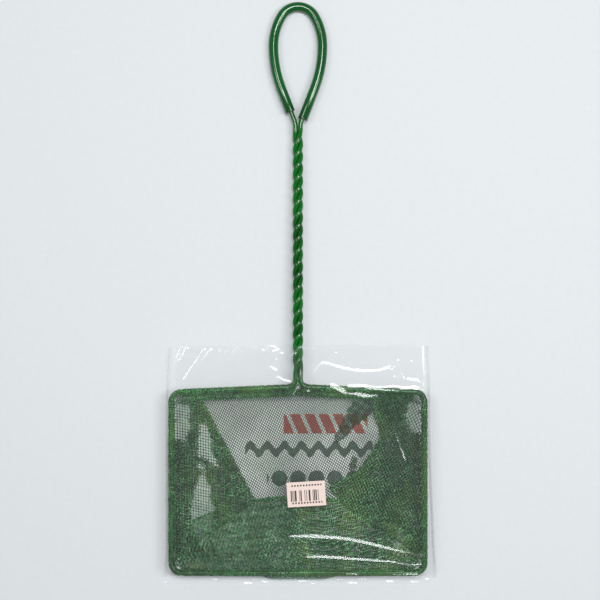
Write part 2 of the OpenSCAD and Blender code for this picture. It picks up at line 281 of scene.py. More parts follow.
def sweep(name, path, diameter, sides, material):
    # A round bar along a path, by a bevelled curve
    curve = bpy.data.curves.new(name, "CURVE")
    curve.dimensions = "3D"
    spline = curve.splines.new("POLY")
    spline.points.add(len(path) - 1)
    spline.points.foreach_set("co", np.c_[path * mm, np.ones(len(path))].ravel())
    curve.bevel_depth = diameter / 2 * mm
    curve.bevel_resolution = sides // 2 - 2
    curve.use_fill_caps = True
    makeActive(newObject(name, curve))
    bpy.ops.object.convert(target="MESH")
    piece = bpy.context.object
    piece.data.materials.clear()
    piece.data.materials.append(material)
    smooth(piece)
    return piece


def steelWire(add, place):
    # Drawn mild steel: fine lines along the wire, bright where cut
    lines = add("TexNoise", {"Vector": place, "Scale": 900, "Detail": 3})
    tone = add("Mix", {share: lines, colourA: "#7D8286", colourB: "#A3A7AA"}, data_type="RGBA")
    rough = add("MapRange", {"Value": lines, "To Min": 0.28, "To Max": 0.45})
    bump = add("Bump", {"Height": lines, "Strength": 0.2, "Distance": 0.02 * mm})
    return add("BsdfPrincipled", {"Base Color": tone, "Metallic": 1.0, "Roughness": rough,
                                  "Normal": bump})


def pvc(add, place, light, dark, roughness, coat, scale):
    # Extruded soft PVC: glossy, with slow waves and faint draw marks from the die
    clouds = add("TexNoise", {"Vector": place, "Scale": scale, "Detail": 2})
    scuffs = add("TexNoise", {"Vector": place, "Scale": 420, "Detail": 4, "Roughness": 0.6})
    tone = add("MapRange", {"Value": clouds, "From Min": 0.35, "From Max": 0.65})
    colour = add("Mix", {share: tone, colourA: dark, colourB: light}, data_type="RGBA")
    rough = add("MapRange", {"Value": scuffs, "From Min": 0.4, "From Max": 0.75,
                             "To Min": roughness, "To Max": roughness + 0.1})
    waves = add("TexNoise", {"Vector": place, "Scale": 260, "Detail": 1})
    bump = add("Bump", {"Height": waves, "Strength": 0.25, "Distance": 0.1 * mm})
    return add("BsdfPrincipled", {"Base Color": colour, "Roughness": rough, "Normal": bump,
                                  "IOR": 1.5, "Specular IOR Level": 0.45, "Coat Weight": coat,
                                  "Coat Roughness": 0.04})


def netting(add, place, thread, shade, olive, oliveShare):
    # Knotless nylon net: slightly shiny threads, in tints that drift over the cloth
    drift = add("TexNoise", {"Vector": place, "Scale": 45, "Detail": 2})
    tint = add("MapRange", {"Value": drift, "From Min": 0.5, "From Max": 0.68, "To Max": oliveShare})
    # Painted light and shade: this fine noise mixes each thread between its lit colour and its shade
    # colour, as glints on the threads and shade in the gaps; it also drives the fibre bump
    fibresAndGlints = add("TexNoise", {"Vector": place, "Scale": 850, "Detail": 2})
    light = add("MapRange", {"Value": fibresAndGlints, "From Min": 0.42, "From Max": 0.64})
    # Painted shade: slower noise darkens bands as fold shade, partly standing for denser thread where
    # the cloth is gathered
    bunch = add("TexNoise", {"Vector": place, "Scale": 75, "Detail": 2, "Distortion": 0.8})
    gatheredAndFoldShade = add("MapRange", {"Value": bunch, "From Min": 0.42, "From Max": 0.6, "To Min": 0.35})
    lit = add("Math", [light, gatheredAndFoldShade], operation="MULTIPLY")
    base = add("Mix", {share: lit, colourA: shade, colourB: thread}, data_type="RGBA")
    tinted = add("Mix", {share: tint, colourA: base, colourB: olive}, data_type="RGBA")
    # Painted shade: layers that lie deeper take less light, so the attribute that their mesh carries
    # mixes them towards dark green
    depth = add("Attribute", attribute_name="depth").outputs["Fac"]
    colour = add("Mix", {share: depth, colourA: tinted, colourB: "#061C0A"}, data_type="RGBA")
    bump = add("Bump", {"Height": fibresAndGlints, "Strength": 0.4, "Distance": 0.05 * mm})
    return add("BsdfPrincipled", {"Base Color": colour, "Roughness": 0.27, "Normal": bump,
                                  "IOR": 1.53})


coatGreen = newMaterial("green PVC coating", pvc, "#046A18", "#024A0C", 0.08, 0.15, 60)
gripGreen = newMaterial("soft green PVC tube", pvc, "#036224", "#014816", 0.06, 0.25, 40)
steel = newMaterial("drawn steel wire", steelWire)
# Lit and shaded copies of one green nylon net: the back wall's and the folds' threads are painted
# lighter, as the layers that lie on top and take the light
hemNet = newMaterial("sewn nylon hem net", netting, "#70B474", "#042C10", "#6E9A3C", 0.4)
frontNet = newMaterial("green nylon netting", netting, "#2A7844", "#0E3A1E", "#527E30", 0.35)
backNet = newMaterial("gathered green nylon netting", netting, "#8CCC94", "#1A6030", "#88A84C", 0.45)
foldNet = newMaterial("folded green nylon netting", netting, "#76BC7E", "#0C461C", "#66903C", 0.4)
stitchThread = newMaterial("polyester sewing thread", netting, "#3C7C3C", "#1E5826", "#48803A", 0.2)

# Wire: one coated wire from cut end to cut end, three times along the handle
strandA, strandB, strandC = (strandPath(start) for start in handle["strands"])
halfHead = walk(headStart, headRoute)
halfLoop = walk(loopStart, loopRoute(grip["bareRight"]))
wirePath = np.concatenate([
    strandA[::-1],
    halfHead[::-1][1:],
    (halfHead * flipX)[1:],
    strandB[1:],
    halfLoop[1:],
    (halfLoop * flipX)[::-1][1:],
    strandC[::-1][1:],
])
coat = sweep("wireCoat", wirePath, wire["coatD"], wire["sides"], coatGreen)
finishPiece(coat, "green_pvc", "frame_coat", "neck_coat_left", "neck_coat_right", "handle_coat_a",
            "handle_coat_b", "handle_coat_c", "throat_coat_left", "throat_coat_right", "loop_coat")
print("wire coat done")

# Grip tube: slipped over the loop, resting against the wire on its inner side
throatPoints = ceil(loop["lean"] / wire["bendStep"]) + 1
tubeRight, tubeLeft = (walk(loopStart, loopRoute(grip[bare]))[throatPoints:]
                       for bare in ("bareRight", "bareLeft"))
tubePath = np.concatenate([tubeLeft * flipX, tubeRight[::-1][1:]])
outward = unit(np.cross(np.gradient(tubePath, axis=0), np.array(handleStart)[:3, 2]))
tubePath = tubePath - outward * grip["shift"]
tube = sweep("gripTube", tubePath, grip["outside"], grip["sides"], gripGreen)
setMode("EDIT")
bpy.ops.mesh.select_all(action="DESELECT")
setMode("OBJECT")
for face in tube.data.polygons:
    face.select = len(face.vertices) > 4  # the two end caps
setMode("EDIT")
bpy.ops.mesh.delete(type="ONLY_FACE")
setMode("OBJECT")
applyModifier(tube, "SOLIDIFY", thickness=(grip["outside"] - grip["bore"]) / 2 * mm, offset=-1)
applyModifier(tube, "BEVEL", width=grip["rim"] * mm, segments=2, limit_method="ANGLE",
              angle_limit=radians(50))
smooth(tube)
finishPiece(tube, "grip_pvc", "grip_tube")
print("grip tube done")

# Netting is a slanted lattice of threads, cut flat and then laid on its surface. The real
# pitch is about 1.15 mm, drawn coarser so that its holes show, most of all where it is folded
weave = {"angleA": -35.6, "angleB": 66.6, "pitchA": 1.36, "pitchB": 1.27, "thread": 0.38,
         "slopeStep": 0.05}
folded = {"scale": 1.2, "thread": 0.46}


def lattice(name, span, keep, surface, material, twist=0, scale=1, thread=weave["thread"],
            depth=None):
    a, b = radians(weave["angleA"] + twist), radians(weave["angleB"] + twist)
    stepA = weave["pitchB"] * scale / sin(b - a) * np.array([cos(a), sin(a)])
    stepB = weave["pitchA"] * scale / sin(b - a) * np.array([cos(b), sin(b)])
    steps = np.array([stepA, stepB])
    corners = np.array([(x, y) for x in span[:2] for y in span[2:]]) @ np.linalg.inv(steps)
    low, high = np.floor(corners.min(0)).astype(int), np.ceil(corners.max(0)).astype(int)
    i, j = np.meshgrid(*(np.arange(low[k], high[k] + 1) for k in (0, 1)), indexing="ij")
    u, v = np.moveaxis(np.stack([i, j], -1) @ steps, -1, 0)
    inside = (u > span[0]) & (u < span[1]) & (v > span[2]) & (v < span[3])
    inside[inside] = keep(u[inside], v[inside])
    cell = inside[:-1, :-1] & inside[1:, :-1] & inside[1:, 1:] & inside[:-1, 1:]
    index = np.arange(i.size).reshape(i.shape)
    faces = np.stack([index[:-1, :-1][cell], index[1:, :-1][cell], index[1:, 1:][cell],
                      index[:-1, 1:][cell]], 1)
    used, faces = np.unique(faces, return_inverse=True)
    points = np.stack([u.ravel()[used], v.ravel()[used], np.zeros(len(used))], 1)
    piece = newPiece(name, points, faces.reshape(-1, 4).tolist(), material)
    piece["flatArea"] = float(cell.sum() * abs(np.linalg.det(steps)) * mm * mm)
    piece["flatSize"] = [float(s * mm) for s in np.ptp(points[:, :2], axis=0)]
    applyModifier(piece, "WIREFRAME", thickness=thread * mm, use_boundary=True, use_replace=True,
                  use_even_offset=True)
    flat = np.empty(len(piece.data.vertices) * 3)
    piece.data.vertices.foreach_get("co", flat)
    u, v, w = flat.reshape(-1, 3).T / mm
    near = weave["slopeStep"]
    across = surface(u + near, v) - surface(u - near, v)
    upward = surface(u, v + near) - surface(u, v - near)
    laid = surface(u, v) + w[:, None] * unit(np.cross(across, upward))
    piece.data.vertices.foreach_set("co", (laid * mm).ravel())
    smooth(piece)
    # The depth attribute is painted shade, which the netting material reads
    if depth:
        layer = piece.data.attributes.new("depth", "FLOAT", "POINT")
        layer.data.foreach_set("value", depth(u, v) if callable(depth) else depth + 0 * u)
    return piece


# How the pouch lies: slack over the back film, and climbing to the hem beside every bar
slack = {"floor": 0.75, "puff": 0.55, "puffSize": 42, "small": 0.12, "smallSize": 13, "least": 0.12,
         "edgeRise": 6.2, "edgeRun": 1.5, "topRise": 6.0, "topRun": 3.2, "topSlope": 0.36,
         "topFlap": 4.8, "flapEnds": (63, 69), "barGap": 0.9}


def topEdge(x):
    return cornerEndY + (cornerEndX - np.abs(x)) * tan(rise)


def fromBars(x, y):
    # Distance inside the wire's centre line, all round the head
    lifted = np.where(y > 0, y - (topEdge(x) - halfH) * ease(y, 0, halfH), y)
    qx, qy = np.abs(x) - halfW + cornerR, np.abs(lifted) - halfH + cornerR
    outside = np.hypot(np.maximum(qx, 0), np.maximum(qy, 0))
    return cornerR - outside - np.minimum(np.maximum(qx, qy), 0)


def seamY(x):
    r = seam["curveR"]
    return -seam["drop"] - r + np.sqrt(np.maximum(r * r - x * x, 0))


def puff(x, y):
    # How the pouch stands up from the back film, the same for every layer
    swell = np.maximum(ripples(x, y, slack["puffSize"], seed=3) + 0.5, 0) * slack["puff"]
    small = ripples(x, y, slack["smallSize"], seed=5) * slack["small"]
    return ease(fromBars(x, y), 2, 14) * (swell + small + slack["least"])


def edgeLift(x, y):
    side = slack["edgeRise"] * np.exp(-np.maximum(fromBars(x, y) - 0.8, 0) / slack["edgeRun"])
    # The top flap stops short of the corners
    top = topEdge(x) - y + 3 * ease(np.abs(x), *slack["flapEnds"])
    upper = (slack["topRise"] * np.exp(-np.maximum(top - slack["topFlap"], 0) / slack["topRun"])
             + slack["topSlope"] * np.clip(slack["topFlap"] - top, 0, 4))
    return np.maximum(side, upper)


# Gussets, by their fold lines, with the outlines of places where the layers below are drawn
# back and more light comes through, and of pleats
gussets = {
    "left": {
        "fold": [(-57, 49), (-51, 37), (-25, -12), (-69, -43)], "twist": 24,
        "clear": [[(-61, 14), (-47.5, 8.5), (-54, 33), (-58.5, 35)],
                  [(-61.2, 7), (-56.5, 5.5), (-56.8, 9.5), (-60.8, 13.2)],
                  [(-57, -37), (-51, -29), (-49.5, -17), (-51.5, -5), (-55.5, 5), (-59, 4),
                   (-63, -8), (-64.4, -20), (-62, -32)],
                  [(-73, 25), (-67, 22), (-64, 30), (-64, 46.5), (-73, 47)]],
        "pleats": []},
    "right": {
        "fold": [(45, 49), (44.2, 43), (49.2, 26.5), (36.6, 6.4), (18, -3.5), (28, -15),
                 (69, -42)], "twist": -31,
        "clear": [[(67, 27.5), (73, 29), (73, 47), (65, 46.5), (64, 36)],
                  [(56, -39.5), (65, -40), (61, -26)]],
        "pleats": [[(18.5, 18), (25, 22.5), (44.5, 41), (44.5, 49.5), (33, 49.5), (26.5, 36.5)],
                   [(31, 5), (35.5, 6), (35.8, 15.5), (31, 15.5)]]},
}


def insideOf(u, v, corners):
    # How far inside an outline that bulges everywhere, its corners given anticlockwise
    inner = np.full(len(u), 1e9)
    for (x1, y1), (x2, y2) in zip(corners, corners[1:] + corners[:1]):
        side = ((u - x1) * (y1 - y2) + (v - y1) * (x2 - x1)) / hypot(x2 - x1, y2 - y1)
        inner = np.minimum(inner, side)
    return inner


def drawnBack(u, v, inset):
    ragged = inset + 0.7 * ripples(u, v, 8, seed=51)
    clear = np.zeros(len(u), bool)
    for side in gussets.values():
        for corners in side["clear"]:
            clear |= insideOf(u, v, corners) > ragged
    return clear


# Front wall: down to the seam, with a bunch of netting in the fork of the neck
front = {"seamLift": 0.45, "seamRun": 3, "topGap": 1.9, "belowSeam": 0.3, "inset": 1.1}
fork = {"span": (-7, 7, 51, 61), "y": 54, "z": 8.2, "slope": 0.25, "pucker": 0.2, "puckerSize": 3,
        "wireGap": 0.2, "below": 0.5}


def frontSurface(u, v):
    seamLift = front["seamLift"] * np.exp(-np.maximum(v - seamY(u), 0) / front["seamRun"])
    return np.stack([u, v, slack["floor"] + puff(u, v) + edgeLift(u, v) + seamLift], 1)


def frontKeep(u, v):
    belowBars = (fromBars(u, v) > slack["barGap"]) & (topEdge(u) - v > front["topGap"])
    return belowBars & (v > seamY(u) - front["belowSeam"]) & ~drawnBack(u, v, front["inset"])


def forkKeep(u, v):
    forkX = strandX + neckR
    outsideBends = np.hypot(np.abs(u) - forkX, v - neckY) > neckR + fork["wireGap"]
    return outsideBends & (np.abs(u) < forkX) & (v < neckY - fork["below"])


def forkSurface(u, v):
    pucker = fork["pucker"] * ripples(u, v, fork["puckerSize"], seed=61)
    return np.stack([u, v, fork["z"] + fork["slope"] * (v - fork["y"]) + pucker], 1)


frontWall = join("netFrontWall", [
    lattice("frontSheet", (-halfW, halfW, -40, 61), frontKeep, frontSurface, frontNet),
    # The bunch in the fork gets painted shade through its depth
    lattice("forkBunch", fork["span"], forkKeep, forkSurface, foldNet, twist=30, scale=0.8,
            thread=0.5, depth=0.35),
])
finishPiece(frontWall, "green_netting", "net_front_wall")
print("front wall done")

# Back wall: from the bottom hem it bulges, runs up under the seam, folds down and up again.
# Its foot is given by distance above the bar, share of the bulge, and height
back = {"bulge": 5.3, "foot": [(0.5, 0, 7.4), (0.2, -0.8, 5.2), (0.2, -1, 3.2), (0.6, -0.75, 1.5),
                               (2.5, 0, slack["floor"])],
        "upGap": 0.3, "lowY": -52.6, "pastSeam": 0.9, "layer": 0.5, "twist": 9, "span": 152,
        "pleat": 0.34, "pleatSize": 6.5, "finePleat": 3.0, "gather": 0.34, "inset": 0.5, "shade": 0.8}


def profileAt(v, stations):
    # Points at arc length v on a profile whose stations may differ from point to point
    y = np.array([s[0] + 0 * v for s in stations])
    z = np.array([s[1] + 0 * v for s in stations])
    run = np.concatenate([[0 * v], np.cumsum(np.hypot(np.diff(y, axis=0), np.diff(z, axis=0)), 0)])
    outY, outZ = y[-1] + (v - run[-1]), z[-1] + 0 * v
    for k in range(len(stations) - 1):
        here = (v >= run[k]) & (v < run[k + 1]) if k else v < run[1]
        t = (v - run[k]) / np.maximum(run[k + 1] - run[k], 1e-9)
        outY = np.where(here, y[k] + (y[k + 1] - y[k]) * t, outY)
        outZ = np.where(here, z[k] + (z[k + 1] - z[k]) * t, outZ)
    return outY, outZ, run


def backProfile(u, v):
    z0, step, r = slack["floor"], back["layer"], back["layer"] / 2
    bulge = back["bulge"] * ease(u, -30, -14) * (1 - ease(u, 14, 33))
    up = seamY(u) - back["upGap"] + 0.5 * ripples(u, 0 * u, 30, seed=8)
    low = np.minimum(back["lowY"] + 0.3 * ripples(u, 0 * u, 40, seed=9), up - 4)
    bends = [(r * sin(a), r - r * cos(a)) for a in (pi * k / 4 for k in (1, 2, 3))]
    stations = [(-halfH + above + out * bulge, z) for above, out, z in back["foot"]]
    stations.append((up, z0))
    stations += [(up + y, z0 + z) for y, z in bends]
    stations += [(up, z0 + step), (low, z0 + step)]
    stations += [(low - y, z0 + step + z) for y, z in bends]
    stations += [(low, z0 + 2 * step), (seamY(u) + back["pastSeam"], z0 + 2 * step - 0.2)]
    return profileAt(v, stations)


def backSurface(u, v):
    y, z, _ = backProfile(u, v)
    inner = ease(y, -halfH + 3, -halfH + 9) * (1 - ease(y, seamY(u) - 6, seamY(u) - 1))
    below = seamY(u) * ease(y, -58, -28) * 0.95 - y
    wide = fullTurn / back["pleatSize"] * below + 1.6 * ripples(u, y, 40, seed=12)
    fine = fullTurn / back["finePleat"] * below + 2.4 * ripples(u, y, 33, seed=13)
    strong = 1.0 + 0.25 * ripples(u, y, 24, seed=14)
    lift = inner * back["pleat"] * (1.4 + np.sin(wide) + 0.7 * np.sin(fine))
    gather = inner * back["gather"] * strong * (1.3 * np.cos(wide) + np.cos(fine))
    return np.stack([u, y + gather, z + puff(u, y) + lift], 1)


def lowerLayers(v, run):
    # Between the foot's last station and the fold below the top layer
    return (v > run[len(back["foot"]) - 1]) & (v < run[-2])


def backKeep(u, v):
    y, _, run = backProfile(u, v)
    thinned = lowerLayers(v, run) & drawnBack(u, y, back["inset"])
    onHead = fromBars(u, np.maximum(y, 1 - halfH)) > slack["barGap"]
    return (v > 0) & (v < run[-1] - 0.1) & onHead & ~thinned


# Painted shade on the back wall's lower layers
def backLayerShade(u, v):
    return back["shade"] * lowerLayers(v, backProfile(u, v)[2])


backWall = lattice("netBackWall", (-halfW, halfW, 0, back["span"]), backKeep, backSurface, backNet,
                   twist=back["twist"], depth=backLayerShade, **folded)
finishPiece(backWall, "green_netting", "net_back_wall")
print("back wall done")

# Gusset pieces: folded in over the seam, each edge turned under, over a second layer
gusset = {"z": 2.6, "under": 0.75, "bend": 0.3, "margin": 2.4, "topY": 48.5, "roll": 0.25,
          "rollSize": 18, "lineStep": 0.8, "rounding": 1.7}


def softLine(corners):
    # A fold line as evenly spaced points, its corners eased
    corners = np.array(corners, float)
    run = measure(corners)
    points = pointAt(np.arange(0, run[-1], gusset["lineStep"]), run, corners)
    width = int(gusset["rounding"] / gusset["lineStep"])
    for _ in range(3):
        padded = np.pad(points, ((width, width), (0, 0)), mode="edge")
        points = np.stack([padded[k:k + len(points)] for k in range(2 * width + 1)]).mean(0)
    return points


def nearestOn(line, x, y):
    # How far off a line each place is, the nearest point of the line, and its direction there
    best, nearX, nearY, runX, runY = np.full(np.shape(x), 1e9), 0 * x, 0 * x, 0 * x, 0 * x
    for (x1, y1), (x2, y2) in zip(line[:-1], line[1:]):
        dx, dy = x2 - x1, y2 - y1
        length = hypot(dx, dy)
        t = np.clip(((x - x1) * dx + (y - y1) * dy) / length ** 2, 0, 1)
        px, py = x1 + t * dx, y1 + t * dy
        d = np.hypot(x - px, y - py)
        closer = d < best
        best = np.where(closer, d, best)
        nearX, nearY = np.where(closer, px, nearX), np.where(closer, py, nearY)
        runX, runY = np.where(closer, dx / length, runX), np.where(closer, dy / length, runY)
    return best, nearX, nearY, runX, runY


def makeGusset(side, sign):
    facts = gussets[side]
    line, twist = softLine(facts["fold"]), facts["twist"]
    r, quarter = gusset["bend"], pi * gusset["bend"] / 2

    def foldAt(u, v):
        # The fold's outward direction and the distance beyond it
        _, nearX, nearY, runX, runY = nearestOn(line, u, v)
        nx, ny = sign * runY, -sign * runX
        return nx, ny, (u - nearX) * nx + (v - nearY) * ny

    def laid(x, y, z, d):
        rolls = gusset["roll"] * ripples(x, y, gusset["rollSize"], seed=21) * ease(-d, 2, 10)
        return np.stack([x, y, z + rolls + puff(x, y) + edgeLift(x, y)], 1)

    def upper(u, v):
        nx, ny, d = foldAt(u, v)
        t = np.clip(d + quarter, 0, 2 * quarter)
        run = np.where(d < -quarter, d + quarter, np.where(d > quarter, quarter - d, r * np.sin(t / r)))
        fallen = gusset["z"] - r * (1 - np.cos(t / r)) + 0.25 * (1 - ease(-d, 1, 5))
        return laid(u + nx * (run - d), v + ny * (run - d), fallen, d)

    def lower(u, v):
        return laid(u, v, gusset["z"] - gusset["under"], foldAt(u, v)[2])

    def within(u, v, margin):
        d = foldAt(u, v)[2]
        edge = fromBars(u, v) > np.where(d > 0, 2.5, slack["barGap"])
        sideOnly = (u * sign > 0) & (v < gusset["topY"]) & (np.abs(v) < halfH - 2)
        return (d < margin) & edge & sideOnly

    def pleated(u, v):
        inner = [insideOf(u, v, corners) for corners in facts["pleats"]]
        return np.max(inner, axis=0) > 0.4 * ripples(u, v, 9, seed=52)

    span = (*sorted((0, sign * halfW)), -halfH, halfH)
    parts = [
        lattice("gussetTop", span, lambda u, v: within(u, v, gusset["margin"]), upper, foldNet,
                twist=twist, **folded),
        # The layer below gets painted shade through its depth
        lattice("gussetUnder", span, lambda u, v: within(u, v, -0.8) & ~drawnBack(u, v, 0), lower,
                foldNet, twist=twist + 40, scale=1.15, thread=0.66, depth=0.85),
    ]
    if facts["pleats"]:
        # The pleats get painted shade through their depth too
        parts.append(lattice("gussetPleat", span, pleated, lower, foldNet, twist=twist + 15,
                             thread=0.5, depth=0.5))
    piece = join("netGusset" + side.capitalize(), parts)
    finishPiece(piece, "folded_netting", "net_gusset_" + side)
    print("gusset done", side)


makeGusset("left", -1)
makeGusset("right", 1)

# Bottom seam: a rolled cord of netting with its overlock thread
seamR = seam["diameter"] / 2
seamTurn = asin((halfW - cornerR - seam["diameter"]) / seam["curveR"])
seamX = seam["curveR"] * np.sin(np.linspace(-seamTurn, seamTurn, seam["points"]))
seamZ = seam["z"] + seamR + puff(seamX, seamY(seamX))
seamLine = np.stack([seamX, seamY(seamX), seamZ], 1)
seamCord = sweep("netBottomSeam", seamLine, seam["diameter"], seam["sides"], backNet)
finishPiece(seamCord, "green_hem", "net_bottom_seam")


def stitchRow(name, path, stitch):
    # Short round stitches along a path: one is shaped and then repeated
    thickness = stitch["thickness"]
    bpy.ops.object.select_all(action="DESELECT")
    bpy.ops.mesh.primitive_cylinder_add(vertices=6, radius=thickness / 2, depth=stitch["length"])
    setMode("EDIT")
    bpy.ops.mesh.select_mode(type="FACE")
    bpy.ops.mesh.inset(thickness=thickness * 0.22, depth=thickness * 0.3)
    setMode("OBJECT")
    one = bpy.context.object
    points = np.array([tuple(v.co) for v in one.data.vertices])
    faces = [list(f.vertices) for f in one.data.polygons]
    bpy.data.objects.remove(one)
    run = measure(path)
    spots = np.arange(stitch["pitch"] / 2, run[-1], stitch["pitch"])
    at = pointAt(spots, run, path)
    along = unit(pointAt(spots + 0.1, run, path) - at)
    slant = stitch["sway"] * np.where(np.arange(len(spots)) % 2, 1, -1)[:, None]
    along = unit(along + np.cross(along, (0, 0, 1)) * slant)
    over = np.cross(along, (0, 0, 1))
    basis = np.stack([over, np.cross(over, along), along], 1)
    allPoints = points @ basis + at[:, None] + (0, 0, stitch["lift"])
    allFaces = [[n + len(points) * k for n in face] for k in range(len(spots)) for face in faces]
    return newPiece(name, allPoints.reshape(-1, 3), allFaces, stitchThread)


seamStitches = stitchRow("seamStitches", seamLine, seam["stitch"])
finishPiece(seamStitches, "green_hem")
print("seam done")


# Hems: a strip of netting round the wire, its two edges sewn together as a flap that leans in
hem = {"outside": 3.6, "strip": 0.3, "open": 0.25, "flapGap": 0.22, "leave": -62, "step": 0.7,
       "ringPoints": 40, "flapPoints": 10, "stitchOver": 0.25,
       "weave": {"scale": 1.1, "thread": 0.45},
       "top": {"route": (4, 5), "flap": 5.2, "lean": -22, "rows": (0.25, 0.85)},
       "side": {"route": (1, 3), "flap": 2.2, "lean": -72, "rows": (0.45,)},
       "bottom": {"route": (0, 0), "flap": 2.2, "lean": -72, "rows": (0.45,)},
       "stitch": {"pitch": 2.5, "length": 1.9, "thickness": 0.45, "lift": 0, "sway": 0.25}}


def hemSection(flap, angle):
    # Inward and upward distances from the wire's centre, along the strip
    r = (hem["outside"] - hem["strip"]) / 2
    leave = radians(hem["leave"])
    around = np.linspace(leave, leave - 2 * pi + hem["open"], hem["ringPoints"])
    ring = np.stack([r * np.cos(around), r * np.sin(around)], 1)
    way = np.array([cos(angle), sin(angle)])
    side = np.array([-way[1], way[0]]) * hem["flapGap"]
    t = np.linspace(1, 0, hem["flapPoints"])[:, None]
    inner = ring[0] + way * flap * t + side * t
    outer = ring[-1] + way * flap * t[::-1] - side * t[::-1]
    return np.concatenate([inner[:-1], ring, outer[1:]])


def hemPath(first, last):
    # The head wire's centre line over these moves of its route
    before = len(walk(headStart, headRoute[:first])) - 1
    path = walk(headStart, headRoute[:last + 1])[before:]
    run = measure(path)
    return pointAt(np.linspace(0, run[-1], max(4, int(run[-1] / hem["step"]))), run, path)


def inwardOf(tangent):
    return np.stack([-tangent[:, 1], tangent[:, 0], 0 * tangent[:, 0]], 1)


def makeHem(name, kind, mirrors, seed, *nodes):
    facts = hem[kind]
    path = hemPath(*facts["route"])
    run, tangent = measure(path), unit(np.gradient(path, axis=0))
    section = hemSection(facts["flap"], radians(facts["lean"]))
    width = measure(section)
    parts, stitches = [], []
    for mirrored in mirrors:

        def surface(u, v):
            p, q = pointAt(v, width, section).T
            onRing = p * p + q * q < 5
            wobble = 1 + 0.02 * np.sin(u * 1.3 + seed) * onRing
            inward = unit(inwardOf(pointAt(u, run, tangent)))
            out = pointAt(u, run, path) + inward * (p * wobble)[:, None]
            out[:, 2] += q * wobble
            return out * flipX if mirrored else out

        part = lattice(name + "Strip", (0, run[-1], 0, width[-1]), lambda u, v: u > -1, surface,
                       hemNet, twist=seed * 7, **hem["weave"])
        if mirrored:
            part.data.flip_normals()
        parts.append(part)
        outerFoot, outerEnd = section[hem["ringPoints"] + hem["flapPoints"] - 1], section[-1]
        for depth in facts["rows"]:
            inset, up = outerFoot + (outerEnd - outerFoot) * depth
            row = path + inwardOf(tangent) * inset + (0, 0, up + hem["stitchOver"])
            stitches.append(stitchRow(name + "Row", row * flipX if mirrored else row, hem["stitch"]))
    whole = join(name, parts)
    finishPiece(whole, "green_hem", *nodes)
    finishPiece(join(name + "Stitches", stitches), "green_hem")
    print("hem done", name)


makeHem("hemTopRight", "top", [False], 1, "hem_top_right", "net_band_top_right")
makeHem("hemTopLeft", "top", [True], 2, "hem_top_left", "net_band_top_left")
makeHem("hemRight", "side", [False], 3, "hem_right")
makeHem("hemLeft", "side", [True], 4, "hem_left")
makeHem("hemBottom", "bottom", [False, True], 5, "hem_bottom", "net_band_bottom")

# Label and print: where they lie, and their plain patterns. A pair is a middle and a half width
label = {"x": 4.9, "y": -6.3, "turn": 3.5, "barPitch": 0.34, "barShare": 0.58,
         "barRow": (-0.9, 3.2), "inkRun": (0, 9.2), "dashPitch": 1.7, "dashShare": 0.55,
         "dashRows": (5.1, 0.5)}
printed = {"shift": (5.5, -16.2, 0), "slant": 0.45, "blockPitch": 8.5, "blockGap": 0.3,
           "blockRow": (17.5, 5.8), "blockRun": (22, 25), "waveRate": 0.62, "waveHigh": 2.4,
           "waveRow": (2.5, 2.6), "waveRun": (12, 38), "dotPitch": 11, "dotY": -15, "dotR": 4.7,
           "dotRun": (17, 30)}

# Sleeve: one tube of thin clear film, sealed at its foot and open at its mouth
film = {"upper": [(78.4, 5.5), (77.9, 9.2), (76.6, 11.6), (74.0, 12.45), (70, 12.45)],
        "lower": [(77.8, 2.2), (75.6, 0.5), (72, 0.14)],  # the section's right half, from its side
        "frontZ": 5.6, "grid": 0.56, "backGrid": 3, "length": 147,
        "rows": [(-61.5, -28, 0.34), (-28, 44, 0.8), (44, 81.2, 0.46)],
        "ragged": 0.6, "backShort": 0.8, "hump": 0.35, "overLabel": 1.0, "lowest": 0.06,
        "sealY": -59.4, "sealEnds": 1.7, "sealZ": 0.28, "sealGap": 0.12, "sealWave": 0.15,
        "closeY": -54, "loose": 0.25, "looseFine": 0.08, "crumple": 0.16,
        "footWider": 1.0, "rightWider": 2.9, "mouthNarrower": 1.2}
creases = [  # points, height and width of each long crease in the front film
    ([(-69, 79.5), (-71.5, 72), (-73.6, 64.5)], 0.3, 0.8),
    ([(-65.6, 79), (-68.8, 73), (-72.4, 67.2)], 0.34, 1.1),
    ([(-55, 78), (-61, 69), (-67, 60)], 0.3, 0.9),
    ([(-51.3, 77.8), (-55.8, 71.5), (-60.3, 65.7)], 0.28, 0.9),
    ([(-52, 61.4), (-45, 61.2)], 0.2, 0.8), ([(-16, 67.5), (-13, 65.5)], 0.3, 0.9),
    ([(-12, 61.5), (-8, 59.5), (-5, 59)], 0.3, 1.0),
    ([(4.8, 58.8), (9.6, 64.1), (13.5, 69.4), (16, 69.8), (19.1, 68.8), (26, 66.9), (32.2, 65.4),
      (40, 64.9), (48, 65.4), (53.8, 67.2)], 0.36, 1.0),
    ([(54, 66.4), (60.7, 63.5)], 0.24, 0.8), ([(56, 61.6), (62.2, 61.3)], 0.26, 1.2),
    ([(64, 60.3), (70.7, 59.3), (75.9, 55.1)], 0.36, 1.2),
    ([(20, 55), (26, 51.8), (33, 50.8), (40, 49.2), (48, 50.2), (56, 53.4)], 0.62, 3.0),
    ([(30, 55.6), (37, 55.8), (43, 54.6), (50, 54.4), (60, 54.2), (69, 54.7), (76.5, 53)],
     0.36, 1.7),
    ([(6, 53.5), (1, 47), (-4, 39)], 0.3, 0.8), ([(0, 55.5), (-2.2, 51.5)], 0.35, 0.9),
    ([(-4.7, -32.5), (6.5, -32.4), (23, -33.4), (34.9, -35.1), (48.4, -38.4), (64.4, -42.2),
      (74.4, -44.5), (80, -43.6)], 0.54, 1.7),
    ([(5, -44.3), (14, -44.5), (30, -45.5), (54, -47.2), (66, -49.2), (71, -48.6)], 0.5, 1.6),
    ([(28, -54), (50, -54.4), (68, -54.2)], 0.3, 0.9),
    ([(-68, 18), (-62, -18)], 0.22, 0.9),
    ([(-60, -46), (-44, -48)], 0.16, 0.8), ([(57, 28), (64, 8), (62, -10)], 0.22, 0.9),
]


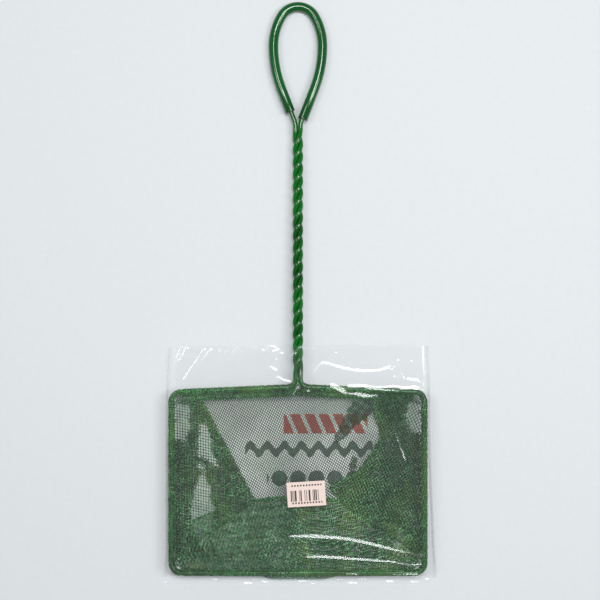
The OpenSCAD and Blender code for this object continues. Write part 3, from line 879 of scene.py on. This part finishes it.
def clearFilm(add, place):
    # Cast polypropylene film: almost all clear, a faint veil, and bright mirror glints
    creased = add("TexVoronoi", {"Vector": place, "Scale": 130}, feature="DISTANCE_TO_EDGE")
    fine = add("TexNoise", {"Vector": place, "Scale": 210, "Detail": 3})
    height = add("Math", [creased, fine], operation="ADD")
    bump = add("Bump", {"Height": height, "Strength": 0.03, "Distance": 0.2 * mm})
    sheen = add("LayerWeight", {"Blend": 0.3})
    mirror = add("MapRange", {"Value": sheen.outputs["Fresnel"], "From Max": 0.8, "To Min": 0.042,
                              "To Max": 0.42})
    rays = add("LightPath")
    veil = add("Mix", {share: rays.outputs["Is Shadow Ray"], valueA: mirror, valueB: 0.03})
    clear = add("BsdfTransparent")
    shiny = add("BsdfPrincipled", {"Base Color": "#F7FAFB", "Metallic": 0.7, "Roughness": 0.12,
                                   "Normal": bump})
    return add("MixShader", [veil, clear, shiny])


def creaseHeight(x, y):
    # The long creases' height, and the distance to the nearest in widths
    total, nearest = np.zeros(np.shape(x)), np.full(np.shape(x), 1e9)
    for points, height, width in creases:
        away = nearestOn(points, x, y)[0] / width
        total += height * np.exp(-away ** 2)
        nearest = np.minimum(nearest, away)
    return total, nearest


def makeFilm():
    upper, lower, flip = np.array(film["upper"]), np.array(film["lower"]), [-1, 1]
    section = np.concatenate([upper, upper[::-1] * flip, lower * flip, lower[::-1], upper[:1]])
    around = measure(section)
    backFrom = around[2 * len(upper)]
    a = np.concatenate([np.arange(0, backFrom, film["grid"]),
                        np.arange(backFrom, around[-1] - 0.5, film["backGrid"])])
    x0, z0 = pointAt(a, around, section).T
    y0 = np.concatenate([np.arange(*row) for row in film["rows"]])
    x, y = np.meshgrid(x0, y0, indexing="ij")
    z = np.repeat(z0[:, None], len(y0), 1)
    isFront = z > film["frontZ"]

    # The cut at the mouth wanders and runs up to the right, and the back film is shorter
    ragged = film["ragged"] * ripples(x0, 0 * x0, 17, seed=31) + 0.8 * x0 / 78
    y = y + ease(y, 60, film["rows"][-1][1]) * (ragged[:, None] - film["backShort"] * ~isFront)

    # The front film stands over the neck and the label, with long creases, soft waves, and
    # crumples towards the foot and the mouth
    def nearLabel(reachX, reachY):
        return ((1 - ease(np.abs(x - label["x"]), *reachX))
                * (1 - ease(np.abs(y - label["y"]), *reachY)))

    hump = film["hump"] * np.exp(-(x / 6.5) ** 2) * ease(y, 46, 58)
    overLabel = film["overLabel"] * nearLabel((11.5, 24), (8, 22))
    crease, nearest = creaseHeight(x, y)
    loose = np.maximum(ripples(x, y, 40, seed=41), -1) * film["loose"]
    loose += ripples(x, y, 17, seed=42) * film["looseFine"]
    ends = 0.15 + (1 - ease(y, -57, -40)) + 0.35 * ease(y, 54, 74)
    crumple = film["crumple"] * np.abs(ripples(x, y, 5, seed=43)) * ends
    crumple *= 1 - np.exp(-(nearest / 2.2) ** 2)
    calm = nearLabel((12, 17), (8, 13))
    uneven = (crease + loose + crumple) * (1 - calm) * (1 - 0.6 * overLabel)
    lift = ease(78 - np.abs(x), 3, 9) * (np.maximum(hump, overLabel) + uneven)
    z = np.where(isFront, z + np.maximum(lift, -0.3), z)

    # Both films close on the seal at the foot, which starts a little higher at its ends
    sealAt = film["sealY"] + film["sealEnds"] * ease(np.abs(x), 35, 43)
    t = np.clip((film["closeY"] - y) / (film["closeY"] - sealAt), 0, 1)
    close = np.cos(t * pi / 2) ** 0.8
    z = z * close + (1 - close) * (film["sealZ"] + film["sealGap"] * np.where(isFront, 1, -1))

    # The tube lies wider at its foot and at the right, and narrows a little at its mouth
    wider = film["footWider"] * (1 - ease(y, -60, -32)) - film["mouthNarrower"] * ease(y, 58, 84)
    wider += film["rightWider"] * (x > 0) * (1 - ease(y, -58, 34))
    x = x + np.sign(x) * ease(np.abs(x), 58, 77) * wider
    seal = 1 - ease(y, sealAt - 0.6, sealAt + 1)
    z = z + seal * film["sealWave"] * (1 + ripples(x * 0.3, y, 2.6, seed=44))
    points = np.stack([x, y, np.maximum(z, film["lowest"])], -1).reshape(-1, 3)
    index = np.arange(x.size).reshape(x.shape)
    wrap = np.roll(index, -1, axis=0)
    faces = np.stack([index[:, :-1], index[:, 1:], wrap[:, 1:], wrap[:, :-1]], -1).reshape(-1, 4)
    sleeve = newPiece("filmSleeve", points, faces.tolist(),
                      newMaterial("clear polypropylene film", clearFilm))
    smooth(sleeve)
    finishPiece(sleeve, "clear_film", "sleeve_front_film", "sleeve_back_film", "sleeve_fold_left",
                "sleeve_fold_right", "sleeve_foot_seal", body="sleeve")
    print("film done")


makeFilm()


def printInk(add, place):
    # White ink on the back film, with slanted blocks, a wave and dots in plain colours
    middle = add("Mapping", {"Vector": place, "Location": printed["shift"], "Scale": [1 / mm] * 3})
    parts = add("SeparateXYZ", [middle])
    x, y = parts.outputs["X"], parts.outputs["Y"]
    blockHigh, blockLong, waveLong, dotLong = (
        add("Math", [axis, *printed[part]], operation="COMPARE")
        for axis, part in ((y, "blockRow"), (x, "blockRun"), (x, "waveRun"), (x, "dotRun")))
    slant = add("Math", [y, printed["slant"], x], operation="MULTIPLY_ADD")
    places = add("Math", [slant, printed["blockPitch"]], operation="DIVIDE")
    step = add("Math", [places], operation="FRACT")
    block = add("Math", [step, printed["blockGap"]], operation="GREATER_THAN")
    blocks = add("Math", [blockHigh, blockLong], operation="MULTIPLY")
    red = add("Math", [block, blocks], operation="MULTIPLY")
    phase = add("Math", [x, printed["waveRate"]], operation="MULTIPLY")
    wave = add("Math", [phase], operation="SINE")
    swing = add("Math", [wave, printed["waveHigh"], y], operation="MULTIPLY_ADD")
    band = add("Math", [swing, *printed["waveRow"]], operation="COMPARE")
    waves = add("Math", [band, waveLong], operation="MULTIPLY")
    dotX = add("Math", [x, printed["dotPitch"]], operation="PINGPONG")
    fromDotX = add("Math", [dotX, printed["dotPitch"] / 2], operation="SUBTRACT")
    fromDotY = add("Math", [y, printed["dotY"]], operation="SUBTRACT")
    across = add("CombineXYZ", [fromDotX, fromDotY, 0.0])
    away = add("VectorMath", [across], operation="LENGTH").outputs["Value"]
    dot = add("Math", [away, printed["dotR"]], operation="LESS_THAN")
    dots = add("Math", [dot, dotLong], operation="MULTIPLY")
    dark = add("Math", [waves, dots], operation="MAXIMUM")
    grain = add("TexNoise", {"Vector": place, "Scale": 700, "Detail": 3})
    white = add("Mix", {share: grain, colourA: "#E6EAEA", colourB: "#F7F9F9"}, data_type="RGBA")
    withRed = add("Mix", {share: red, colourA: white, colourB: "#CC3E48"}, data_type="RGBA")
    colour = add("Mix", {share: dark, colourA: withRed, colourB: "#585E61"}, data_type="RGBA")
    bump = add("Bump", {"Height": grain, "Strength": 0.15, "Distance": 0.02 * mm})
    return add("BsdfPrincipled", {"Base Color": colour, "Roughness": 0.38, "Normal": bump})


def labelPaper(add, place):
    # Coated paper: smooth and half matt, with plain bars and two rows of dashes only
    middle = add("Mapping", {"Vector": place, "Location": (-label["x"] * mm, -label["y"] * mm, 0)})
    turned = add("Mapping", {"Vector": middle, "Scale": [1 / mm] * 3,
                             "Rotation": (0, 0, -radians(label["turn"]))})
    parts = add("SeparateXYZ", [turned])
    x, y = parts.outputs["X"], parts.outputs["Y"]
    column = add("Math", [x, label["barPitch"]], operation="SNAP")
    draw = add("TexWhiteNoise", {"W": column}, noise_dimensions="1D").outputs["Value"]
    bar = add("Math", [draw, label["barShare"]], operation="GREATER_THAN")
    tall = add("Math", [y, *label["barRow"]], operation="COMPARE")
    bars = add("Math", [bar, tall], operation="MULTIPLY")
    places = add("Math", [x, label["dashPitch"]], operation="DIVIDE")
    step = add("Math", [places], operation="FRACT")
    dash = add("Math", [step, label["dashShare"]], operation="LESS_THAN")
    fromMiddle = add("Math", [y], operation="ABSOLUTE")
    rows = add("Math", [fromMiddle, *label["dashRows"]], operation="COMPARE")
    dashes = add("Math", [dash, rows], operation="MULTIPLY")
    marks = add("Math", [bars, dashes], operation="MAXIMUM")
    wide = add("Math", [x, *label["inkRun"]], operation="COMPARE")
    ink = add("Math", [marks, wide], operation="MULTIPLY")
    fibre = add("TexNoise", {"Vector": place, "Scale": 1500, "Detail": 4})
    paper = add("Mix", {share: fibre, colourA: "#EBD3C9", colourB: "#F4E0D7"}, data_type="RGBA")
    colour = add("Mix", {share: ink, colourA: paper, colourB: "#2B2A2C"}, data_type="RGBA")
    bump = add("Bump", {"Height": fibre, "Strength": 0.2, "Distance": 0.03 * mm})
    return add("BsdfPrincipled", {"Base Color": colour, "Roughness": 0.55, "Normal": bump})


# The part's own nodes take the first of these whose key is in their name
looks = {"core": steel, "coat": coatGreen, "grip_tube": gripGreen, "hem_": hemNet,
         "seam": hemNet, "net_": frontNet, "print": newMaterial("printed white ink", printInk),
         "label": newMaterial("coated label paper", labelPaper)}
for name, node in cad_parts.items():
    for key in [key for key in looks if key in name][:1]:
        node.data.materials.clear()
        node.data.materials.append(looks[key])
print("print and label done")

# Floor and light. Beyond fade the floor keeps the tone that it has under the lamps, and the
# sky is lighter to the camera than on the object
stage = {"floor": 8, "fade": (0.36, 0.8), "skyLight": 0.27, "skySeen": 0.85, "aim": (0, 0.08, 0)}
lamps = {  # place, width and height, power in watts
    "key": ((0.1, 0.4, 1.25), (0.46, 0.32), 7.6),
    "side": ((0.62, 0.15, 1.05), (0.24, 0.5), 4.2),
    "left": ((-0.55, 0.26, 1.06), (0.24, 0.5), 2.4),
}


def paleFloor(add, place):
    # Matt painted board
    grain = add("TexNoise", {"Vector": place, "Scale": 300, "Detail": 2})
    colour = add("Mix", {share: grain, colourA: "#DDE1E4", colourB: "#E2E6E8"}, data_type="RGBA")
    shader = add("BsdfPrincipled", {"Base Color": colour, "Roughness": 0.85})
    away = add("VectorMath", [place], operation="LENGTH").outputs["Value"]
    fadeFrom, fadeTo = stage["fade"]
    fade = add("MapRange", {"Value": away, "From Min": fadeFrom, "From Max": fadeTo})
    rays = add("LightPath")
    seen = add("Math", [fade, rays.outputs["Is Camera Ray"]], operation="MULTIPLY")
    glow = add("Emission", {"Color": "#E0E5E8"})
    return add("MixShader", [seen, shader, glow])


bpy.ops.object.select_all(action="DESELECT")
bpy.ops.mesh.primitive_plane_add(size=stage["floor"], location=(0, 0, 0))
floor = bpy.context.object
floor.name = "floor"
floor.data.materials.append(newMaterial("matt pale floor", paleFloor))

for name, (place, size, power) in lamps.items():
    lamp = newObject(name, bpy.data.lights.new(name, "AREA"))
    lamp.data.shape = "RECTANGLE"
    lamp.data.size, lamp.data.size_y = size
    lamp.data.energy = power
    lamp.location = place
    way = Matrix.Translation(stage["aim"]).translation - lamp.location
    lamp.rotation_euler = way.to_track_quat("-Z", "Y").to_euler()

world = bpy.data.worlds.new("studio")
world.use_nodes = True
world.node_tree.nodes.clear()
add = partial(addNode, world.node_tree)
rays = add("LightPath")
level = add("MapRange", {"Value": rays.outputs["Is Camera Ray"], "To Min": stage["skyLight"],
                         "To Max": stage["skySeen"]})
sky = add("Background", {"Color": "#F2F4F6", "Strength": level})
add("OutputWorld", [sky])
bpy.context.scene.world = world
bpy.context.scene.view_settings.view_transform = "Standard"
print("stage done")
